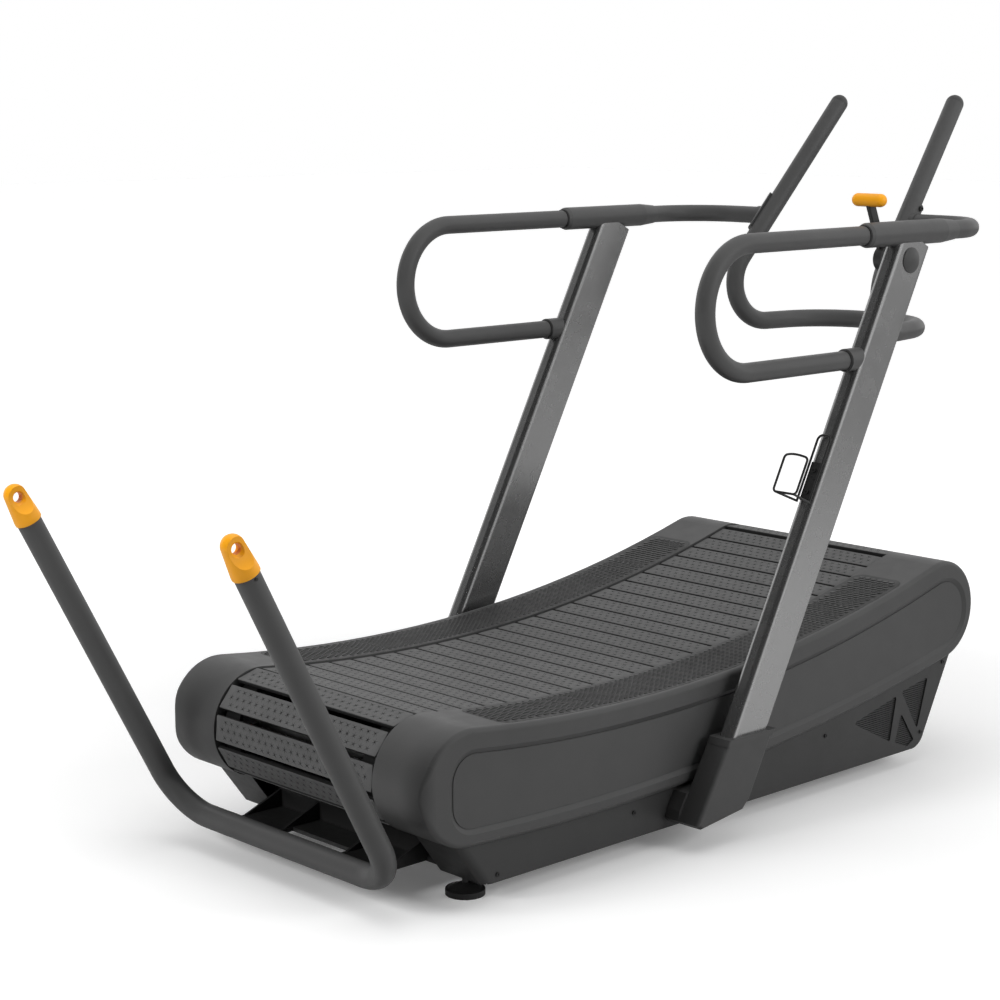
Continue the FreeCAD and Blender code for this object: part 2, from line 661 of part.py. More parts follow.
def build_skirt_screws():
    screws = []
    for y, z in ((846.0, 221.0), (770.0, 71.0), (426.0, 129.0), (-176.0, 90.0), (-549.0, 52.0)):
        head = rod((SKIRT_OUT, y, z), (SKIRT_OUT + 2.5, y, z), 4.5)
        socket = rod((SKIRT_OUT + 1.0, y, z), (SKIRT_OUT + 4, y, z), 2.0)
        screws.append(head.cut(socket))
    FASTENERS.extend(screws + [mirrored(s) for s in screws])


# ---------------------------------------------------------------- uprights
LEAN = Vector(0, math.sin(UPRIGHT_LEAN), math.cos(UPRIGHT_LEAN))
LEAN_FRONT = Vector(0, math.cos(UPRIGHT_LEAN), -math.sin(UPRIGHT_LEAN))


def upright_point(z, x=UPRIGHT_X):
    return Vector(x, UPRIGHT_Y600 + (z - 600) * math.tan(UPRIGHT_LEAN), z)


def build_uprights():
    low = upright_point(UPRIGHT_LOW)
    run = upright_point(UPRIGHT_TOP) - low
    outer = profile_bar(low, X_AXIS, LEAN_FRONT, UPRIGHT_WIDE, UPRIGHT_DEEP, UPRIGHT_CORNER, run)
    inner = profile_bar(low - LEAN * 2, X_AXIS, LEAN_FRONT, UPRIGHT_WIDE - 6, UPRIGHT_DEEP - 6,
                        UPRIGHT_CORNER - 3, run + LEAN * 4)
    tube = outer.cut(inner)
    # The sleeve sits in a saddle cut across the top of the tube.
    saddle = rod((UPRIGHT_X + 2.5, 200, RAIL_Z), (UPRIGHT_X + 2.5, 900, RAIL_Z), SLEEVE_R + 0.1)
    above = block((380, 200, RAIL_Z), (500, 900, RAIL_Z + 200))
    below = block((380, -300, 0), (500, 300, 66))
    tube = tube.cut(saddle).cut(above).cut(below)
    left = mirrored(tube)
    # The brake cable enters the right upright through its inner wall, and leaves below.
    tube = tube.cut(rod(CABLE_IN - X_AXIS * 12, CABLE_IN + X_AXIS * 8, 14.0))
    tube = tube.cut(rod(CABLE_LEAVE - X_AXIS * 12, CABLE_LEAVE + X_AXIS * 8, 14.0))
    save("upright_right", tube)
    save("upright_left", left)


BOOT_TOP = 219.0
BOOT_WALL = 7.0


def build_boots():
    """Moulded boots that close the joint between each upright and the base."""
    inner_x = UPRIGHT_X - UPRIGHT_WIDE / 2 - BOOT_WALL
    outer_x = UPRIGHT_X + UPRIGHT_WIDE / 2 + BOOT_WALL
    middle = upright_point(BOOT_TOP).y
    rear_lip = middle - 71
    front_lip = middle + 66
    toe = [(75, 84), (54, 65), (-70, 50), (-84, 60)]
    body = between(polygon([(rear_lip, BOOT_TOP), (front_lip, BOOT_TOP)] + toe), inner_x, outer_x)
    outer_edges = [e for e in body.Edges if e.BoundBox.XLength < 0.01 and e.BoundBox.XMin > outer_x - 0.01]
    body = body.makeFillet(8.0, [e for e in outer_edges if e.BoundBox.ZLength > 5])
    # A low lobe runs inboard under the shell and meets the skirt.
    lobe_outline = toe + [(-80, 79), (-60, 113), (-12, 124), (72, 124)]
    lobe = between(polygon(lobe_outline), SKIRT_OUT + 0.5, inner_x + 1)
    lobe = lobe.cut(between(deck_outline(-1.0), SKIRT_OUT - 10, SHELL_OUT + 1))
    rim = 2.0
    drop = 13 * math.tan(UPRIGHT_LEAN)
    lip = between(polygon([(rear_lip - rim, BOOT_TOP), (front_lip + rim, BOOT_TOP),
                           (front_lip + rim - drop, BOOT_TOP - 13), (rear_lip - rim - drop, BOOT_TOP - 13)]),
                  inner_x - rim, outer_x + rim)
    lip = lip.makeFillet(4.0, [e for e in lip.Edges
                               if e.BoundBox.XLength < 0.01 and e.BoundBox.ZLength > 10])
    outer = joined(body, lobe, lip)
    sleeve = profile_bar(upright_point(UPRIGHT_LOW) - LEAN * 0.2, X_AXIS, LEAN_FRONT, UPRIGHT_WIDE + 0.4,
                         UPRIGHT_DEEP + 0.4, UPRIGHT_CORNER, LEAN * 900)
    arm_low = Vector(300, OUTRIGGER_Y - 35.2, OUTRIGGER_Z + 4.8)
    arm = block(arm_low, (UPRIGHT_X, OUTRIGGER_Y + 35.2, OUTRIGGER_Z + 44.2))
    boot = outer.cut(sleeve).cut(arm)
    pieces = sorted(boot.Solids, key=lambda s: s.Volume)
    save_pair("boot", pieces[-1])


def build_hand_rails():
    loop = bent_tube(
        [(RAIL_X, SLEEVE_REAR + 18, RAIL_Z), (RAIL_X, LOOP_Y - LOOP_R, RAIL_Z),
         (RAIL_X, LOOP_Y - LOOP_R, RAIL_Z - 2 * LOOP_R), (RAIL_X, 396.0, RAIL_Z - 2 * LOOP_R)],
        [LOOP_R - 0.01, LOOP_R - 0.01], RAIL_R)
    save_pair("side_loop", loop)

    low_z = RAIL_Z - 2 * LOOP_R
    rear_face = upright_point(low_z).y - UPRIGHT_DEEP / 2 / math.cos(UPRIGHT_LEAN)
    collar = rod((RAIL_X, 376.0, low_z), (RAIL_X, rear_face + 30, low_z), RAIL_R + 4)
    collar = collar.cut(rod((RAIL_X, 370.0, low_z), (RAIL_X, 397.0, low_z), RAIL_R))
    trim = profile_bar(upright_point(500), X_AXIS, LEAN_FRONT, UPRIGHT_WIDE + 20, UPRIGHT_DEEP, 0,
                       LEAN * 700)
    save_both("loop_collars", collar.cut(trim))

    body = rod((RAIL_X, SLEEVE_REAR + 8, RAIL_Z), (RAIL_X, SLEEVE_FRONT - 45, RAIL_Z), SLEEVE_R)
    rear_lip = Part.makeCone(SLEEVE_R - 3, SLEEVE_R, 8, Vector(RAIL_X, SLEEVE_REAR, RAIL_Z), Vector(0, 1, 0))
    taper = Part.makeCone(SLEEVE_R, RAIL_R + 1.5, 45, Vector(RAIL_X, SLEEVE_FRONT - 45, RAIL_Z),
                          Vector(0, 1, 0))
    sleeve = joined(body, rear_lip, taper)
    sleeve = sleeve.cut(rod((RAIL_X, SLEEVE_REAR - 1, RAIL_Z), (RAIL_X, SLEEVE_REAR + 18, RAIL_Z), RAIL_R))
    sleeve = sleeve.cut(rod((RAIL_X, SLEEVE_FRONT - 60, RAIL_Z), (RAIL_X, SLEEVE_FRONT + 1, RAIL_Z), RAIL_R))
    sleeve = sleeve.cut(rod((RAIL_X, SLEEVE_REAR + 22, RAIL_Z), (RAIL_X, SLEEVE_FRONT - 64, RAIL_Z), RAIL_R))
    save_pair("rail_sleeve", sleeve)

    post = sled_point(RAIL_Z)
    front = bent_tube(
        [(RAIL_X, SLEEVE_FRONT - 60, RAIL_Z), (RAIL_X, FRONT_RAIL_Y, RAIL_Z),
         (post.x + SLED_R + 5, FRONT_RAIL_Y, RAIL_Z)],
        [FRONT_BEND_R], RAIL_R)
    save_pair("front_rail", front)


# ---------------------------------------------------------------- sled bar
def sled_point(z):
    return SLED_TIP + SLED_FALL * (SLED_TIP.z - z)


def build_sled_bar():
    tip = sled_point(SLED_TIP.z - 1)
    corner = sled_point(SLED_LOW_Z)
    right = [tip, corner, SLED_END]
    left = [Vector(-p.x, p.y, p.z) for p in right]
    bar = bent_tube(left + right[::-1], [SLED_BEND_R, SLED_END_R, SLED_END_R, SLED_BEND_R], SLED_R)
    save("sled_bar", bar)
    caps = []
    for x in (-1, 1):
        centre = Vector(SLED_TIP.x * x, SLED_TIP.y, SLED_TIP.z)
        axis = Vector(-SLED_FALL.x * x, -SLED_FALL.y, -SLED_FALL.z)
        plug = rod(centre - unit(axis) * 24, centre, SLED_R - TUBE_WALL)
        dome = Part.makeSphere(SLED_R, centre, unit(axis), 0, 90, 360)
        foot = centre - unit(axis) / unit(axis).z
        neck = rod(foot, centre, SLED_R)
        caps.append(joined(dome, neck, plug))
    save("sled_bar_caps", group(caps))

    bolts = []
    axis = unit(Vector(-SLED_FALL.x, -SLED_FALL.y, -SLED_FALL.z))
    post = sled_point(RAIL_Z)
    centre = post
    outer = rod(centre - axis * 50, centre + axis * 50, SLED_R + 6)
    outer = outer.cut(rod(centre - axis * 60, centre + axis * 60, SLED_R + 0.1))
    side = X_AXIS - axis * X_AXIS.dot(axis)
    side.normalize()
    across = axis.cross(side)
    keep = profile_bar(centre - axis * 60 + side * 22, side, across, 26, 60, 0, axis * 120)
    saddle = outer.common(keep)
    pad = rod((post.x + SLED_R - 6, FRONT_RAIL_Y, RAIL_Z),
              (post.x + SLED_R + 12, FRONT_RAIL_Y, RAIL_Z), RAIL_R + 2)
    pad = pad.cut(rod(centre - axis * 90, centre + axis * 90, SLED_R + 3))
    rail_end = rod((post.x + SLED_R + 5, FRONT_RAIL_Y, RAIL_Z),
                   (post.x + SLED_R + 30, FRONT_RAIL_Y, RAIL_Z), RAIL_R)
    saddle = joined(saddle, pad).cut(rail_end)
    for offset in (-38, 38):
        start = centre + axis * offset + side * (SLED_R + 2)
        bolt = rod(start + side * 4, start + side * 9, 6.0)
        socket = rod(start + side * 6.5, start + side * 10, 3.0)
        bolts.append(bolt.cut(socket))
    save_both("saddles", saddle)
    FASTENERS.extend(bolts + [mirrored(b) for b in bolts])


# ---------------------------------------------------------------- rear bar
def build_u_bar():
    corner = U_CAP_BASE + U_FALL * (U_CAP_BASE.z - U_LOW_Z)
    points = [Vector(-U_CAP_BASE.x, U_CAP_BASE.y, U_CAP_BASE.z), Vector(-corner.x, corner.y, corner.z),
              corner, U_CAP_BASE]
    save("u_bar", bent_tube(points, [U_BEND_R, U_BEND_R], U_R, 3.0))

    axis = unit(Vector(-U_FALL.x, -U_FALL.y, -U_FALL.z))
    eye = U_CAP_BASE - U_FALL * CAP_REACH
    side = unit(X_AXIS - axis * EYE_TILT)
    across = unit(axis.cross(side))
    print("anchor eye at", eye, "axis", side)
    crown = eye + axis * 4.5
    body = Part.makeCone(CAP_R, CAP_CROWN_R, (crown - U_CAP_BASE).Length, U_CAP_BASE, axis)
    collar = rod(U_CAP_BASE - axis * 6, U_CAP_BASE, CAP_R)
    cap = joined(body, Part.makeSphere(CAP_CROWN_R, crown), collar)
    # Both sides of the cap are scooped nearly flat around the eye.
    scoop_r = 60.0
    for sign in (-1, 1):
        centre = eye + axis * 6 + side * (sign * (scoop_r + 9.5))
        cap = cap.cut(rod(centre - across * 60, centre + across * 60, scoop_r))
    cap = cap.cut(rod(eye - side * 60, eye + side * 60, EYE_R))
    for outward in (side, side * -1):
        cap = cap.cut(Part.makeCone(EYE_R, EYE_R + 6, 6, eye + outward * (EYE_WALL / 2), outward))
    cap = cap.cut(rod(U_CAP_BASE - axis * 10, U_CAP_BASE, U_R))
    save_pair("anchor_cap", cap)
    # One set screw holds each cap, on the outer side of the bar just under the cap.
    spot = U_CAP_BASE - axis * 12 + side * U_R
    screw = rod(spot, spot + side * 1.8, 3.2)
    FASTENERS.extend([screw, mirrored(screw)])


def build_hitch():
    plate = block((-223, -752, 52), (223, -590, 60))
    window = block((-92, -704, 40), (92, -668, 70))
    corner = U_CAP_BASE + U_FALL * (U_CAP_BASE.z - U_LOW_Z)
    bar = rod((-260, corner.y, corner.z), (260, corner.y, corner.z), U_R)
    plate = plate.cut(window).cut(bar)
    rear = block((-223, -598, 60), (223, -590, 98))
    gussets = []
    for x in (-223, -100, 94, 217):
        gussets.append(between(polygon([(-598, 60), (-598, 96), (-690, 60)]), x, x + 6))
    save("hitch", joined(plate, rear, *gussets))


# ---------------------------------------------------------------- brake lever and cage
CABLE_IN = Vector(UPRIGHT_X - UPRIGHT_WIDE / 2, 494.0, 1042.0)
CABLE_OUT_X = 347.0
CABLE_Z = OUTRIGGER_Z + 24.5
CABLE_LEAVE = Vector(UPRIGHT_X - UPRIGHT_WIDE / 2, OUTRIGGER_Y, CABLE_Z)
CABLE_SOCKET = Vector(404.0, LEVER_Y - 28.0, LEVER_Z - 32.0)


def build_lever():
    pivot = Vector(0, LEVER_Y, LEVER_Z)
    inner_face = UPRIGHT_X - UPRIGHT_WIDE / 2
    housing = rod(pivot + X_AXIS * (inner_face - 18), pivot + X_AXIS * inner_face, 29.0)
    socket = rod(CABLE_SOCKET, pivot + Vector(CABLE_SOCKET.x, -14, -16), 5.5)
    housing = joined(housing, socket)
    pin = rod(pivot + X_AXIS * (inner_face - 42), pivot + X_AXIS * (inner_face - 2), LEVER_PIN_R)
    head = rod(pivot + X_AXIS * (inner_face - 46), pivot + X_AXIS * (inner_face - 42), 9.0)
    pin = joined(pin, head)
    housing = housing.cut(rod(pivot + X_AXIS * (inner_face - 30), pivot + X_AXIS * (inner_face - 2),
                              LEVER_PIN_R))
    save("lever_housing", joined(housing, pin))

    hub = rod(pivot + X_AXIS * (inner_face - 41), pivot + X_AXIS * (inner_face - 18.4), 28.0)
    hub = hub.makeFillet(5.0, [e for e in hub.Edges if abs(e.BoundBox.XMax - (inner_face - 41)) < 0.01])
    stem_dir = LEVER_GRIP - Vector(LEVER_GRIP.x, LEVER_Y, LEVER_Z)
    across = X_AXIS.cross(unit(stem_dir))
    stem = profile_bar(Vector(LEVER_GRIP.x, LEVER_Y, LEVER_Z), X_AXIS, across, 10, 22, 2.5, stem_dir)
    arm = joined(hub, stem)
    bore = rod(pivot + X_AXIS * (inner_face - 50), pivot + X_AXIS * (inner_face - 10), LEVER_PIN_R + FIT)
    grip_core = rod(LEVER_GRIP - X_AXIS * 60, LEVER_GRIP + X_AXIS * 60, 14.0)
    save("lever_arm", arm.cut(bore).cut(grip_core))
    half = 28.5
    grip = rod(LEVER_GRIP - X_AXIS * half, LEVER_GRIP + X_AXIS * half, 14.0)
    ends = [Part.makeSphere(14.0, LEVER_GRIP + X_AXIS * (half * s)) for s in (-1, 1)]
    save("lever_grip", joined(grip, *ends))

    outer_face = UPRIGHT_X + UPRIGHT_WIDE / 2
    dome_r = 27.0
    rise = 7.0
    ball_r = (dome_r ** 2 + rise ** 2) / (2 * rise)
    ball = Part.makeSphere(ball_r, pivot + X_AXIS * (outer_face + rise + 1.5 - ball_r))
    disc = rod(pivot + X_AXIS * outer_face, pivot + X_AXIS * (outer_face + 12), dome_r)
    save("pivot_cap", ball.common(disc))


def cable_route():
    """From the lever's housing, down inside the upright, through the outrigger and up to the brake."""
    rim_y = FRONT.y - 88
    return [
        CABLE_SOCKET,
        CABLE_SOCKET + unit(Vector(0, -14, -16)) * 40,
        CABLE_SOCKET + Vector(0, -38, -56),
        CABLE_IN + Vector(10, -5, -12),
        upright_point(960),
        upright_point(210),
        upright_point(135) + Vector(1.5, -4, 0),
        CABLE_LEAVE + Vector(-8, 0, 2),
        CABLE_LEAVE + Vector(-44, 0, 0),
        Vector(CABLE_OUT_X, OUTRIGGER_Y, CABLE_Z + 12),
        Vector(CABLE_OUT_X - 2, OUTRIGGER_Y + 12, CABLE_Z + 70),
        Vector(342, 250, 250),
        Vector(321, 480, FRONT.z - 30),
        Vector(321, rim_y - 126.5, FRONT.z - 14)]


def build_cable():
    points = cable_route()
    radii = []
    for before, corner, after in zip(points, points[1:], points[2:]):
        shorter = min((before - corner).Length, (after - corner).Length)
        half_turn = (math.pi - (before - corner).getAngle(after - corner)) / 2
        radii.append(0.45 * shorter / max(math.tan(half_turn), 0.02))
    print("cable bend radii", [round(r) for r in radii])
    save("brake_cable", bent_bar(points, radii, 2.5))


def build_cage():
    """Wire bottle cage on the rear face of the right upright."""
    out = LEAN_FRONT * -1
    base = upright_point(600) + out * (UPRIGHT_DEEP / 2)

    def at(x, along, off):
        return base + Vector(x - UPRIGHT_X, 0, 0) + LEAN * along + out * off

    plate = profile_bar(at(UPRIGHT_X, 56, 2), X_AXIS, out, 26, 4, 0, LEAN * 84)
    save("cage_bracket", plate)
    for along in (74, 122):
        spot = at(UPRIGHT_X, along, 4)
        FASTENERS.append(rod(spot, spot + out * 3, 5.0).cut(rod(spot + out * 1.5, spot + out * 4, 2.5)))

    wire = 2.5
    hoop_low = 47.0
    hoop_high = 127.0
    off = 72.0
    left = UPRIGHT_X - 30
    right = UPRIGHT_X + 30
    hoop = [at(UPRIGHT_X, hoop_low, off), at(left, hoop_low, off), at(left, hoop_high, off),
            at(UPRIGHT_X, hoop_high + 3, off + 9), at(right, hoop_high, off), at(right, hoop_low, off),
            at(UPRIGHT_X, hoop_low, off)]
    ring = bent_bar(hoop, [8, 8, 60, 8, 8], wire)
    back = [at(UPRIGHT_X - 16, 50, 6.5), at(UPRIGHT_X - 16, 199, 6.5), at(UPRIGHT_X + 16, 199, 6.5),
            at(UPRIGHT_X + 16, 50, 6.5)]
    yoke = bent_bar(back, [12, 12], wire)
    arms = []
    for side in (-1, 1):
        foot = at(UPRIGHT_X + side * 16, 52, 6.5)
        arms.append(rod(foot, at(UPRIGHT_X + side * 24, hoop_low, off), wire))
    save("bottle_cage", joined(ring, yoke, *arms))


# ---------------------------------------------------------------- feet and wheels
def build_feet():
    for name, (x, y) in (("rear", FOOT_REAR), ("front", FOOT_FRONT)):
        disc = rod((x, y, 0), (x, y, 12), 38.5)
        disc = disc.makeFillet(1.5, [e for e in disc.Edges if abs(e.BoundBox.ZMin - 12) < 0.01])
        dome = Part.makeCone(34.0, 12.0, 10, Vector(x, y, 12), Z_AXIS)
        stem = rod((x, y, 20), (x, y, SILL_Z + 38), FOOT_STEM_R)
        nut = rod((x, y, SILL_Z - 10.3), (x, y, SILL_Z - 0.3), 10.0)
        save_pair("foot_" + name, joined(disc, dome, stem, nut))


def build_transport_wheels():
    centre = Vector(0, WHEEL_Y, WHEEL_Z)
    bore = rod(centre + X_AXIS * 260, centre + X_AXIS * 330, 6.0 + FIT)
    wheel = rod(centre + X_AXIS * 279, centre + X_AXIS * 305, WHEEL_R)
    wheel = wheel.makeFillet(4.0, [e for e in wheel.Edges if e.BoundBox.XLength < 0.01])
    save_pair("transport_wheel", wheel.cut(bore))
    plates = []
    for x in (RAIL_IN + 10.0, RAIL_IN + 46.0):
        cheek = polygon([(SILL_FRONT, SILL_Z), (SILL_FRONT, SILL_Z + SILL_TALL),
                         (WHEEL_Y + 12, WHEEL_Z + 14), (WHEEL_Y + 12, WHEEL_Z - 3)])
        plates.append(between(cheek, x, x + 5))
    axle = rod(centre + X_AXIS * (RAIL_IN + 10), centre + X_AXIS * (RAIL_IN + 51), 6.0)
    bracket = joined(plates[0], plates[1], axle)
    save_both("wheel_brackets", bracket)


build_frame()
build_rollers()
build_roller_bearings()
build_brake()
build_belt()
build_support_bearings()
build_shells()
build_skirts()
build_vents()
build_skirt_screws()
build_uprights()
build_boots()
build_hand_rails()
build_sled_bar()
build_u_bar()
build_hitch()
build_lever()
build_cable()
build_cage()
build_feet()
build_transport_wheels()
save("socket_screws", group(FASTENERS))
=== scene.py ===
import json
import math
import random

import bpy
from mathutils import Matrix, Vector, geometry
from mathutils.bvhtree import BVHTree


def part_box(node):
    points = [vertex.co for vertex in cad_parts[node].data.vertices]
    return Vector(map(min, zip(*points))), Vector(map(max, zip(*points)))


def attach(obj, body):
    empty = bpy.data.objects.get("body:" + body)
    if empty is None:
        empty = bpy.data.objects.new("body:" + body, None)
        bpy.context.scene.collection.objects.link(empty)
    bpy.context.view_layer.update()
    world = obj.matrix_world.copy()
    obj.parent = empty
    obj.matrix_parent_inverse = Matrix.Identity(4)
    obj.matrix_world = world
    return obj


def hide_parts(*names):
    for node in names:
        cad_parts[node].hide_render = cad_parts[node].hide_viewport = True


# Looks of a curved manual treadmill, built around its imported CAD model. Metres, +Z up, +Y is the way
# the runner faces.
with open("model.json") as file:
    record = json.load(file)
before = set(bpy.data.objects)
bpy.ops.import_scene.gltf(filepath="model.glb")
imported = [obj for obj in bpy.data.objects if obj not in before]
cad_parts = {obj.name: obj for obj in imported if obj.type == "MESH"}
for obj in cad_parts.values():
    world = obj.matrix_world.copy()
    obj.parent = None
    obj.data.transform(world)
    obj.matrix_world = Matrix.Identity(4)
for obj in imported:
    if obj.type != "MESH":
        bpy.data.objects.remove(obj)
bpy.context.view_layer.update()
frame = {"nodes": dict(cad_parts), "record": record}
CAD = frame["nodes"]
rng = random.Random(7)
MM = 0.001
X_AXIS = Vector((1, 0, 0))
Y_AXIS = Vector((0, 1, 0))
Z_AXIS = Vector((0, 0, 1))


# ---------------------------------------------------------------- shader nodes
class Tree:
    """The shader nodes of one material or world."""

    def __init__(self, owner):
        owner.use_nodes = True
        self.nodes = owner.node_tree.nodes
        self.links = owner.node_tree.links

    def feed(self, socket, value):
        """Links the socket to value if that is a node's output, and otherwise sets it to value."""
        if isinstance(value, bpy.types.NodeSocket):
            self.links.new(value, socket)
        else:
            socket.default_value = value

    def fill(self, node, **sockets):
        """Feeds the node's named sockets, with an underscore for each space in a name."""
        for name, value in sockets.items():
            self.feed(node.inputs[name.replace("_", " ")], value)

    def add(self, kind, output, *first, operation=None, **sockets):
        """Adds a node, feeds its first sockets and its named ones, and gives the named output."""
        made = self.nodes.new("ShaderNode" + kind)
        if operation:
            made.operation = operation
        for socket, value in zip(made.inputs, first):
            self.feed(socket, value)
        self.fill(made, **sockets)
        return made.outputs[output]

    def spread(self, source, start, end, low, high, curve="LINEAR"):
        """Maps source from start..end to low..high, clamped."""
        made = self.nodes.new("ShaderNodeMapRange")
        made.interpolation_type = curve
        self.fill(made, Value=source, From_Min=start, From_Max=end, To_Min=low, To_Max=high)
        return made.outputs["Result"]


def grey(level):
    return (level, level, level)


def opaque(color, share=1.0):
    """The colour, scaled by share, with its alpha."""
    return (*[c * share for c in color], 1)


# ---------------------------------------------------------------- camera, light and floor
CAMERA_PLACE = (3.3550, -3.3665, 1.4981)
CAMERA_AROUND = 46.546          # degrees from straight behind towards the runner's right
CAMERA_DOWN = 10.114            # degrees below level
CAMERA_LENS = 82.26
CAMERA_SENSOR = 36.0
CAMERA_REACH = 60.0
LAMPS = {
    "lamp_top": dict(place=(0.3, -0.2, 3.6), aim=(0, 0, 0.3), size=3.2, power=36.0),
    "lamp_right": dict(place=(4.2, 1.4, 2.2), aim=(0, 0.2, 0.5), size=2.0, power=86.0),
    "lamp_rear": dict(place=(-0.6, -4.6, 2.4), aim=(0, -0.8, 0.5), size=1.6, power=130.0),
}
WALL_LIGHT = 0.90               # how bright the room is level with the machine, and overhead
CEILING_LIGHT = 0.62
WALL_TOP = 0.05                 # heights of a direction where the walls end and the ceiling begins
CEILING_RIM = 0.75
DARK_SIDE = Vector((0.15, -0.90, 0.35)).normalized()    # a dark flag stands behind the machine
DARK_SHARE = 0.05               # what is left of the light in its middle
FLAG_RIM = 0.25                 # cosines from its middle where it begins and is full
FLAG_FULL = 0.60
FLOOR_REACH = 30.0
FLOOR_WHITE = 0.96              # the floor's colour where the camera sees it
FLOOR_ROUGH = 0.9
FLOOR_BOUNCE = 0.26             # share of the light that the floor throws back onto the machine
FLOOR_MIRRORED = 0.62           # how bright the floor's reflections are in smooth finishes
SHADOW_LIFT = 0.10              # painted glow that only the camera sees, on the floor under the machine, and away from it
FLOOR_GLOW = 0.60
GLOW_FROM = 0.6                 # the painted glow grows between these distances from the middle
GLOW_FULL = 3.2


def add_camera():
    """The product view: from behind the runner, on the runner's right, a little above the rails."""
    data = bpy.data.cameras.new("camera")
    data.sensor_width = CAMERA_SENSOR
    data.lens = CAMERA_LENS
    data.clip_end = CAMERA_REACH
    camera = bpy.data.objects.new("camera", data)
    camera.location = CAMERA_PLACE
    camera.rotation_euler = (math.radians(90 - CAMERA_DOWN), 0, math.radians(CAMERA_AROUND))
    bpy.context.scene.collection.objects.link(camera)
    bpy.context.scene.camera = camera


def add_lamp(name, place, aim, size, power):
    """A soft square lamp at place, facing aim, which smooth finishes don't mirror."""
    data = bpy.data.lights.new(name, "AREA")
    data.shape = "RECTANGLE"
    data.size = size
    data.size_y = size
    data.energy = power
    lamp = bpy.data.objects.new(name, data)
    lamp.location = place
    lamp.rotation_euler = (Vector(aim) - Vector(place)).to_track_quat("-Z", "Y").to_euler()
    lamp.visible_glossy = False
    bpy.context.scene.collection.objects.link(lamp)


def add_world():
    """A white backdrop that lights the machine like bright walls, a dimmer ceiling and a dark flag."""
    world = bpy.data.worlds.new("studio")
    bpy.context.scene.world = world
    tree = Tree(world)
    place = tree.add("TexCoord", "Generated")
    ramp = tree.nodes.new("ShaderNodeValToRGB")
    tree.feed(ramp.inputs["Fac"], tree.add("SeparateXYZ", "Z", place))
    stops = ((WALL_TOP, WALL_LIGHT), (CEILING_RIM, CEILING_LIGHT))
    for element, (height, light) in zip(ramp.color_ramp.elements, stops):
        element.color = opaque(grey(light))
        element.position = height
    toward = tree.add("VectorMath", "Value", place, DARK_SIDE, operation="DOT_PRODUCT")
    flag = tree.spread(toward, FLAG_RIM, FLAG_FULL, 1.0, DARK_SHARE, "SMOOTHSTEP")
    room = tree.add("VectorMath", "Vector", ramp.outputs["Color"], operation="SCALE", Scale=flag)
    seen = tree.add("LightPath", "Is Camera Ray")
    color = tree.add("MixRGB", "Color", seen, room, opaque(grey(1.0)))
    tree.fill(tree.nodes["Background"], Color=color)


def add_floor():
    """A white floor that takes the machine's shadow. A painted glow that only the camera sees lifts that
    shadow and grows whiter away from the machine.
    """
    mesh = bpy.data.meshes.new("floor")
    corners = [(x * FLOOR_REACH, y * FLOOR_REACH, 0) for x, y in ((-1, -1), (1, -1), (1, 1), (-1, 1))]
    mesh.from_pydata(corners, [], [(0, 1, 2, 3)])
    floor = bpy.data.objects.new("floor", mesh)
    bpy.context.scene.collection.objects.link(floor)
    material = bpy.data.materials.new("floor_white")
    tree = Tree(material)
    seen = tree.add("LightPath", "Is Camera Ray")
    mirrored = tree.add("LightPath", "Is Glossy Ray")
    bounce = tree.add("MixRGB", "Color", mirrored, opaque(grey(FLOOR_BOUNCE)), opaque(grey(FLOOR_MIRRORED)))
    color = tree.add("MixRGB", "Color", seen, bounce, opaque(grey(FLOOR_WHITE)))
    # Painted glow: emission for camera rays only, faint under the machine and strong away from it
    away = tree.add("VectorMath", "Value", tree.add("TexCoord", "Object"), operation="LENGTH")
    glow = tree.spread(away, GLOW_FROM, GLOW_FULL, SHADOW_LIFT, FLOOR_GLOW, "SMOOTHSTEP")
    seen_glow = tree.add("Math", "Value", glow, seen, operation="MULTIPLY")
    tree.fill(tree.nodes["Principled BSDF"], Base_Color=color, Roughness=FLOOR_ROUGH,
              Specular_IOR_Level=0.0, Emission_Color=opaque(grey(1.0)), Emission_Strength=seen_glow)
    mesh.materials.append(material)


bpy.context.scene.view_settings.view_transform = "Standard"
add_camera()
add_world()
for lamp_name, lamp_look in LAMPS.items():
    add_lamp(lamp_name, **lamp_look)
add_floor()


# ---------------------------------------------------------------- finishes
NOISE_LOW = 0.3                 # nearly all of a noise lies between these
NOISE_HIGH = 0.7
NOISE_ROUGH = 0.55

